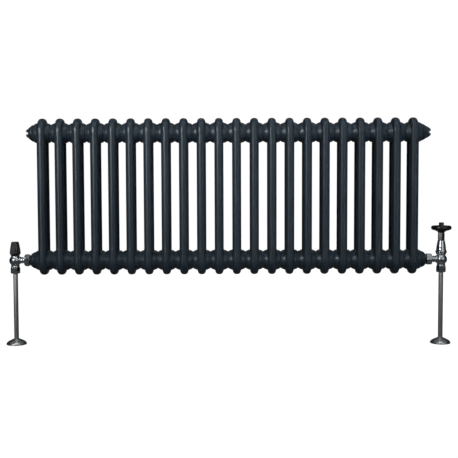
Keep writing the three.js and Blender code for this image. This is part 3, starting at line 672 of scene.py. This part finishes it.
def plated(name, light, dark, roughness, wear=0.3, streaks=None):
    """Plated or polished metal: two tones of colour, fingermarks in the gloss, hairline scratches."""
    metal = Finish(name, roughness[0], 1.0)
    marks = metal.use(SMUDGES, Scale=55.0)
    tones = metal.mixed(marks, light, dark)
    if streaks:
        lines = stepped(metal.tree, noise(metal.tree, 34, 4.0, stretch=(1, 1, streaks)), 0.42, 0.62)
        tones = metal.mixed(lines, tones, tuple(0.55 * value for value in dark))
    metal.colour(tones)
    metal.roughness(marks, *roughness)
    metal.bump(metal.use(SCRATCHES, Scale=150.0), wear, 0.01)
    return metal.material


def plate_with_painted_reflection_rays():
    """Plated sheet with a painted reflection: soft light and dark rays that run out from the pipe stand
    in for the pipe and room mirrored in the cone. Noise read on the direction from the pipe's axis, (|x|
    - axis, y) scaled to a length of one, mixes two tones and two gloss levels."""
    metal = Finish("plate_chrome", 0.3, 1.0)
    nodes, link = metal.tree.nodes, metal.tree.links.new
    where = nodes.new("ShaderNodeTexCoord")
    split = nodes.new("ShaderNodeSeparateXYZ")
    link(where.outputs["Object"], split.inputs[0])
    sideways = maths(metal.tree, "ABSOLUTE", split.outputs["X"])
    from_axis = maths(metal.tree, "SUBTRACT", sideways, RIGHT_VALVE[0] * MM)
    around = nodes.new("ShaderNodeCombineXYZ")
    unit = nodes.new("ShaderNodeVectorMath")
    unit.operation = "NORMALIZE"
    link(from_axis, around.inputs["X"])
    link(split.outputs["Y"], around.inputs["Y"])
    link(around.outputs[0], unit.inputs[0])
    painted_reflection_rays = nodes.new("ShaderNodeTexNoise")
    painted_reflection_rays.inputs["Scale"].default_value, painted_reflection_rays.inputs["Detail"].default_value = 4.5, 3.0
    link(unit.outputs[0], painted_reflection_rays.inputs["Vector"])
    # painted reflection: light and dark rays of the mirrored pipe and room, laid into the chrome's
    # colour
    mask = stepped(metal.tree, painted_reflection_rays.outputs[0], 0.40, 0.60)
    metal.colour(metal.mixed(mask, (0.88, 0.88, 0.87), (0.42, 0.42, 0.42)))
    metal.roughness(mask, 0.22, 0.36)
    metal.bump(metal.use(SCRATCHES, Scale=150.0), 0.2, 0.01)
    return metal.material


def black_plastic():
    """Moulded cap: dark and slightly grained, greyer where it faces up: partly dust, partly a painted
    highlight on its upward faces.
    """
    cap = Finish("cap_plastic", 0.4)
    # painted highlight, partly dust: the up-facing mask laid on heavily greys the cap's top
    dust_and_top_highlight = cap.use(DUST_AND_TOP_HIGHLIGHT, Amount=0.75)
    tone = cap.mixed(cap.use(SMUDGES, Scale=80.0), (0.014, 0.013, 0.017), (0.026, 0.024, 0.030))
    cap.colour(cap.mixed(dust_and_top_highlight, tone, (0.13, 0.13, 0.14)))
    cap.roughness(cap.use(SMUDGES, Scale=45.0), 0.32, 0.5)
    cap.bump(cap.use(GRAIN, Scale=900.0, Share_of_Fine=0.5), 0.3, 0.04)
    return cap.material


def wheel_lacquer():
    """Black lacquer on the wheel: nearly black, with fingermarks in its gloss."""
    lacquer = Finish("wheel_lacquer", 0.2, Coat_Weight=0.4, Coat_Roughness=0.08)
    marks = lacquer.use(SMUDGES, Scale=60.0)
    dust_and_top_highlight = lacquer.use(DUST_AND_TOP_HIGHLIGHT, Amount=0.10)
    tone = lacquer.mixed(marks, (0.008, 0.007, 0.007), (0.014, 0.012, 0.011))
    lacquer.colour(lacquer.mixed(dust_and_top_highlight, tone, (0.16, 0.15, 0.14)))
    lacquer.roughness(marks, 0.16, 0.32)
    lacquer.bump(lacquer.use(GRAIN, Scale=500.0, Share_of_Fine=0.3), 0.15, 0.03)
    return lacquer.material


def seal_rubber():
    """Moulded rubber: matt black with a fine grain."""
    rubber = Finish("seal_rubber", 0.75)
    marks = rubber.use(SMUDGES, Scale=90.0)
    rubber.colour(rubber.mixed(marks, (0.012, 0.012, 0.012), (0.028, 0.027, 0.026)))
    rubber.roughness(rubber.use(SMUDGES, Scale=120.0), 0.65, 0.85)
    rubber.bump(rubber.use(GRAIN, Scale=1200.0, Share_of_Fine=0.5), 0.4, 0.03)
    return rubber.material


# ---------- shapes of the small pieces, each drawn about Z ----------

def prong(profile, half_slot):
    """One side of a slotted cone. At each height of the profile it is the circle of that radius, cut
    by the slot's straight wall; the first and last rows close it."""
    rows = []
    for radius, height in profile:
        reach = math.acos(half_slot / radius)
        arc = np.linspace(-reach, reach, 25)
        rim = np.stack([radius * np.cos(arc), radius * np.sin(arc)], 1)
        chord = np.stack([np.full(7, half_slot), np.linspace(rim[-1, 1], rim[0, 1], 7)], 1)[1:-1]
        rows.append(np.column_stack([np.concatenate([rim, chord]), np.full(30, height)]))
    middle = np.array([(half_slot + profile[-1][0]) / 2, 0, 0])
    ends = [middle + (0, 0, height) + 0 * rows[0] for _, height in (profile[0], profile[-1])]
    points = np.concatenate([ends[0], *rows, ends[1]])
    return points, grid_faces(len(rows) + 2, 30, False, True)


def plug_shell(length, bore=0):
    """A hub plug: a threaded barrel, a flange and a cone with two turned grooves, slotted at its tip.
    The cone is drawn at the vent plug's length and stretched along its axis to the given one."""
    slot_floor = length - SLOT_DEPTH
    stretch = (length - FLANGE_THICKNESS) / (VENT_PLUG_LENGTH - FLANGE_THICKNESS)
    grooved = [
        (18.9, 1.4), (19.3, 1.8), (15.6, 7.1), (15.0, 7.4), (14.9, 8.2), (15.2, 8.4),
    ]
    outline = filleted([
        (bore, -15), (16.2, -15), (17.6, -13.6), (17.6, 0), (20.7, 0), (20.7, 1.9), (19.3, 2.4),
        *[(radius, FLANGE_THICKNESS + rise * stretch) for radius, rise in grooved],
        (13.2, slot_floor), (bore, slot_floor),
    ], [0, 0.5, 0.5, 0, 0.4, 0.7, 0.3, 0.3, 0.7, 0.4, 0.3, 0.3, 0.4, 0, 0])
    cone = [
        (13.2, slot_floor - 0.3), (13.1, slot_floor), (9.5, length - 1.1), (9.1, length - 0.5),
        (8.3, length),
    ]
    one = prong(cone, SLOT_WIDTH / 2)
    return join(turned(outline, 72, closed=bool(bore)), one, placed(one, HALF_TURN))


def bush_shell():
    """A reducing bush: a barrel, a flange and a cone that swells slightly on its way to its nose."""
    return ring([
        (7.9, -15), (16.4, -15), (17.6, -13.8), (17.6, 0), (20.7, 0), (20.7, 1.8), (19.3, 2.2),
        (19.1, 3.3), (19.5, 3.7), (16.9, 7.2), (13.4, 10.2), (12.3, 11.2), (7.9, 11.2),
    ], 0.9, 72)


def body_shell():
    """The valve body: a hollow turned upright and, lying across it, the branch with its two beads."""
    upright = ring([
        (4.6, -12), (4.6, -4), (8.3, -4), (8.3, 11), (10.9, 11), (10.9, 9.2), (12.6, 7.2), (14.7, 3.4),
        (15.1, 0), (15.1, -4), (13.6, -7.6), (11.2, -10.2), (10.5, -12), (10.5, -14.8), (11.1, -15.6),
        (11.1, -17.6), (8.6, -18), (8.6, -27), (5.3, -27), (5.3, -12),
    ], [0, 0, 0, 0, 0.6, 0.8, 2, 3, 3, 3, 3, 1.6, 1.2, 0.5, 0.6, 0.6, 0.3, 0.3, 0.3, 0, 0, 0], 80)
    branch = ring([
        (4.6, 9), (4.6, 31), (9.2, 31), (9.2, 23.4), (7.1, 23.0), (7.0, 20.6), (8.5, 19.8), (8.6, 17.9),
        (7.3, 17.0), (7.2, 15.8), (9.4, 13.6), (9.6, 9),
    ], [0, 0, 0.3, 0.3, 0.4, 0.8, 0.8, 0.9, 0.8, 0.6, 1.2, 0.8, 0, 0], 72)
    return join(upright, placed(branch, TO_X))


def ridged_cap():
    """The lift-off cap: its radius follows a profile, less rounded grooves that fade out at both ends:
    groove * fade(height) * (1/2 + 1/2 cos(ridges * turn)) ** 2. The inside is plain."""
    outside = filleted([
        (10.9, 11.6), (11.1, 13.2), (12.0, 14.6), (13.7, 17.6), (14.0, 18.9), (13.7, 21.2), (12.7, 29.8),
        (11.8, 35.2), (10.9, 40.4), (10.1, 44.9), (9.5, 46.9), (8.3, 47.8), (6.6, 47.2), (0, 47.0),
    ], [0, 0.8, 1, 1, 1, 1.5, 2, 2, 2, 1, 1, 0.7, 0.5, 0], 5)
    lengths = np.concatenate([[0], np.cumsum(np.hypot(*np.diff(outside, axis=0).T))])
    along = np.linspace(0, lengths[-1], 110)
    radius, height = (np.interp(along, lengths, outside[:, axis]) for axis in (0, 1))
    fade = np.clip((height - 17.2) / 3, 0, 1) * np.clip((45.6 - height) / 3, 0, 1)
    turn = np.linspace(0, 2 * math.pi, 192, endpoint=False)
    groove = (0.5 + 0.5 * np.cos(CAP_RIDGES * turn)) ** 2
    skin_radius = radius[:, None] - CAP_GROOVE * fade[:, None] * groove[None, :]
    inside = np.array([(9.4, 11.6), (9.4, 16.4), (8.6, 41.8), (0, 41.8)])
    reach = np.concatenate([skin_radius[::-1], inside[:, :1] + 0 * turn])
    level = np.concatenate([height[::-1], inside[:, 1]])[:, None] + 0 * turn
    rows = np.stack([reach * np.cos(turn), reach * np.sin(turn), level], -1)
    return rows.reshape(-1, 3), grid_faces(len(rows), len(turn), False, True)


def wheel_shell():
    """The wheel: a rim, a dished web and a boss that narrows to the nut below it."""
    return ring([
        (3.3, 68.1), (8.4, 68.1), (9.0, 69.4), (12.2, 71.6), (15.2, 73.2), (19.5, 74.1), (24.4, 75.8),
        (26.0, 79.8), (25.2, 84.2), (21.6, 85.9), (17.6, 84.9), (14.6, 82.2), (11.6, 82.0), (9.4, 83.6),
        (8.4, 85.6), (3.3, 85.6),
    ], [0, 0.5, 0.8, 2, 2, 3, 3, 4.5, 3, 3, 2, 2, 2, 2, 0.6, 0, 0], 128, 8)


def plate_shell():
    """The floor plate: a thin pressed ring that rises in a low cone to the pipe's sleeve."""
    return ring([
        (22.9, 0), (26, 0), (26, 2.0), (25.0, 4.4), (22.2, 7.4), (17.6, 10.0), (12.5, 12.5), (8.6, 14.3),
        (7.0, 14.95), (6.4, 14.9), (6.4, 13.2), (8.6, 12.4), (12, 10.9), (16.6, 8.5), (21.0, 6.0),
        (23.4, 3.4),
    ], [0, 0.3, 0.8, 1.6, 3, 4, 4, 3, 0.5, 0.2, 0.4, 2, 2, 3, 3, 1, 0], 112, 5)


# ---------- the object ----------

class Finishes:
    """Every finish of the object, made once."""

    def __init__(self):
        self.paint = anthracite_paint()
        self.chrome = plated("chrome", (0.78, 0.79, 0.81), (0.70, 0.71, 0.74), (0.05, 0.10), 0.15)
        self.plate_chrome = plate_with_painted_reflection_rays()
        self.satin = plated("satin_chrome", (0.58, 0.55, 0.53), (0.55, 0.52, 0.50), (0.34, 0.40), 0.05)
        # dark chrome is the chrome with a darker colour; on the wheel valve's neck that darkness is
        # painted shade under the wheel
        self.dark = plated("dark_chrome", (0.30, 0.27, 0.25), (0.19, 0.17, 0.16), (0.14, 0.28))
        self.brass = plated("brass", (0.66, 0.45, 0.17), (0.42, 0.27, 0.10), (0.25, 0.45))
        self.copper = plated("copper", (0.72, 0.36, 0.22), (0.45, 0.21, 0.13), (0.25, 0.45))
        self.plastic = black_plastic()
        self.lacquer = wheel_lacquer()
        self.rubber = seal_rubber()


def build_sections(finish):
    """The block of sections and the welds between them."""
    shell = section_shell()
    for name, middle in zip(SECTIONS, SECTION_CENTRES):
        skin = placed(shell, None, middle)
        piece(f"{name}_skin", skin, finish.paint, node=name, sharp=40)
    piece("hub_welds", weld_beads(), finish.paint, sharp=60)


def build_block_ends(finish):
    """The washers, bushes and plugs at the block's four corners, and the vent screw."""
    washer = ring([(18.1, 0.3), (20.4, 0.3), (20.4, 1.7), (18.1, 1.7)], 0.3, 72)
    for side, hand, turn in ((-1, "left", TO_MINUS_X), (1, "right", TO_X)):
        for level, hub in (("top", UPPER_HUB), ("bottom", LOWER_HUB)):
            piece(f"{level}_{hand}_washer", placed(washer, turn, (side * BLOCK_END, 0, hub)),
                  finish.rubber, node=f"{level}_{hand}_seal")
        face = side * (BLOCK_END + SEAL_THICKNESS)
        piece(f"bottom_{hand}_cone", placed(bush_shell(), turn, (face, 0, LOWER_HUB)),
              finish.paint, node=f"bottom_{hand}_bush")
        if side < 0:
            node, shell = "top_left_plug", plug_shell(BLANK_PLUG_LENGTH)
        else:
            node, shell = "top_right_vent_plug", plug_shell(VENT_PLUG_LENGTH, VENT_BORE)
        piece(f"top_{hand}_cone", placed(shell, turn, (face, 0, UPPER_HUB)), finish.paint,
              node=node)
    stem = turned(filleted([(0, 2), (2.9, 2), (2.9, 14.6), (0, 14.6)], 0.3), 32)
    head = nut(4.0, 14.6, 18.5, 0, 0.5, count=4, sides=96)
    piece("vent_screw", placed(join(stem, head), TO_X, (face, 0, UPPER_HUB)), finish.brass,
          "bleed_screw_body", "bleed_screw")


def build_shared_valve_pieces(finish, valve, hand, place, turn):
    """What both valves have: the body and its two nuts, the pipe's sleeve and the floor plate."""
    def fitted(name, shell, material, node, slot):
        piece(name, placed(shell, turn, place), material, RADIATOR, node)

    fitted(f"{valve}_casting", body_shell(), finish.chrome, f"{valve}_body", "chrome_plate")
    lower_nut = nut(21.6, -33.8, -18.3, 6.4, 1.8, turn=NEXT_FLAT, face=0.9)
    fitted(f"{valve}_lower_nut", lower_nut, finish.chrome, f"{valve}_compression_nut", "chrome_plate")
    collar = nut(27.0, 24.0, 39.5, 8.0, 5.2, face=0.74, turn=NEXT_FLAT if hand == "left" else 0)
    fitted(f"{valve}_big_nut", placed(collar, TO_X), finish.chrome, f"{valve}_union_nut",
           "chrome_plate")
    sleeve_low, sleeve_high = (corner.z / MM - LOWER_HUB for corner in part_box(f"{hand}_pipe_sleeve"))
    cover = ring([(5.3, sleeve_low), (6.0, sleeve_low), (6.0, sleeve_high), (5.3, sleeve_high)], 0.2, 72)
    fitted(f"{hand}_cover_tube", cover, finish.satin, f"{hand}_pipe_sleeve", "sleeve_chrome")
    rose = placed(plate_shell(), None, (0, 0, -LOWER_HUB))
    fitted(f"{hand}_rose", rose, finish.plate_chrome, f"{hand}_floor_plate", "chrome_plate")


def build_lockshield(finish):
    """The lockshield valve's own pieces."""
    def fitted(name, shell, material, node, slot, body=RADIATOR, sharp=35):
        piece(name, placed(shell, None, LEFT_VALVE), material, body, node, sharp)

    thread = ring([(3.3, 3.4), (8.0, 3.4), (8.0, 11.3), (3.3, 11.3)], 0.2, 48)
    fitted("lockshield_seat_piece", join(thread, nut(15.4, 11.3, 15.5, 3.3, 0.8)), finish.brass,
           "lockshield_headwork", "brass")
    fitted("lockshield_top_nut", nut(13.0, 15.8, 21.8, 3.3, 0.8), finish.brass,
           "lockshield_gland_nut", "brass")
    square = nut(4.2, 23.0, 30.0, 0, 0.5, count=4, sides=96)
    fitted("lockshield_stem", join(rod(23.2), square), finish.brass, "lockshield_spindle", "brass",
           "lockshield_spindle_body")
    fitted("lockshield_cover", ridged_cap(), finish.plastic, "lockshield_cap", "black_cap", CAP, 50)


def build_wheel_valve(finish):
    """The wheelhead valve's own pieces."""
    def fitted(name, shell, material, node, slot, body=RADIATOR, sharp=35):
        piece(name, placed(shell, HALF_TURN, RIGHT_VALVE), material, body, node, sharp)

    fitted("wheel_valve_barrel", ring([
        (3.3, 3.4), (8.0, 3.4), (8.0, 11.3), (10.8, 11.3), (12.6, 12.6), (12.9, 13.6), (12.9, 15.4),
        (12.3, 15.9), (6.6, 15.9), (6.6, 56), (5.4, 56), (5.4, 53), (3.3, 53),
    ], 0.5, 72), finish.chrome, "wheel_valve_headwork", "chrome_plate")
    fitted("wheel_valve_bell", ring([
        (12.9, 16.3), (14.2, 16.3), (14.4, 17.6), (14.4, 19.6), (13.4, 21.6), (12.6, 24.4), (12.1, 28),
        (11.7, 32.4), (10.9, 37.4), (10.0, 42.4), (9.1, 46.9), (8.6, 48), (6.9, 48), (6.9, 46.6),
        (7.8, 46), (8.8, 41.8), (9.8, 36.6), (10.6, 31.6), (11.2, 26), (12.2, 21.6), (12.9, 19),
    ], 1.2, 96), finish.chrome, "wheel_valve_shroud", "chrome_plate")
    # painted shade: the neck, which sits under the wheel, gets the darker chrome for the wheel's shadow
    # and reflection
    fitted("wheel_valve_neck", nut(15.4, 48.3, 67.7, 3.3, 1.2), finish.dark,
           "wheel_valve_gland_nut", "dark_chrome")
    fitted("wheel_valve_stem", rod(90.1), finish.brass, "wheel_valve_spindle", "brass", WHEEL)
    fitted("hand_wheel", wheel_shell(), finish.lacquer, "wheel_valve_wheel", "black_wheel", WHEEL, 45)
    fitted("wheel_tip", nut(11.4, 86.0, 94.0, 3.2, 1.2, turn=NEXT_FLAT), finish.dark,
           "wheel_valve_finial_nut", "dark_chrome", WHEEL)


def finish_inner_pieces(finish):
    """The pieces inside the valves keep their own shape and get a finish by what they are."""
    by_ending = {
        "tail": finish.chrome,
        "olive": finish.brass,
        "pipe": finish.copper,
        "disc": finish.rubber,
        "packing": finish.rubber,
    }
    for name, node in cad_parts.items():
        for ending, material in by_ending.items():
            if name.endswith(ending):
                for slot in node.material_slots:
                    slot.material = material


def build():
    """The whole object."""
    finish = Finishes()
    build_sections(finish)
    build_block_ends(finish)
    build_shared_valve_pieces(finish, "lockshield", "left", LEFT_VALVE, None)
    build_shared_valve_pieces(finish, "wheel_valve", "right", RIGHT_VALVE, HALF_TURN)
    build_lockshield(finish)
    build_wheel_valve(finish)
    finish_inner_pieces(finish)


camera()
studio()
softbox("left_box", (-1.35, -1.95, 1.30), (-0.36, 0, 0.80), 0.8, 1.2, 2.6, 34)
softbox("right_box", (1.35, -1.95, 1.30), (0.36, 0, 0.80), 0.8, 1.2, 2.6, 34, shines=False)
softbox("top_box", (0, -0.7, 1.9), (0, 0, 0.5), 1.9, 0.4, 3.0)
softbox("back_box", (0.4, 2.1, 1.5), (0, 0, 0.35), 2.0, 0.9, 36, 120, shines=False)
softbox("back_panel", (0.4, 2.1, 1.5), (0, 0, 0.35), 2.0, 0.9, 5.5, 120, lights=False)
softbox("left_panel", (-1.75, -2.3, 0.85), (0, 0, 0.3), 1.0, 1.7, 6.5, lights=False)
softbox("right_panel", (1.75, -2.3, 0.85), (0, 0, 0.3), 0.7, 1.7, 3.2, lights=False)
floor()
build()
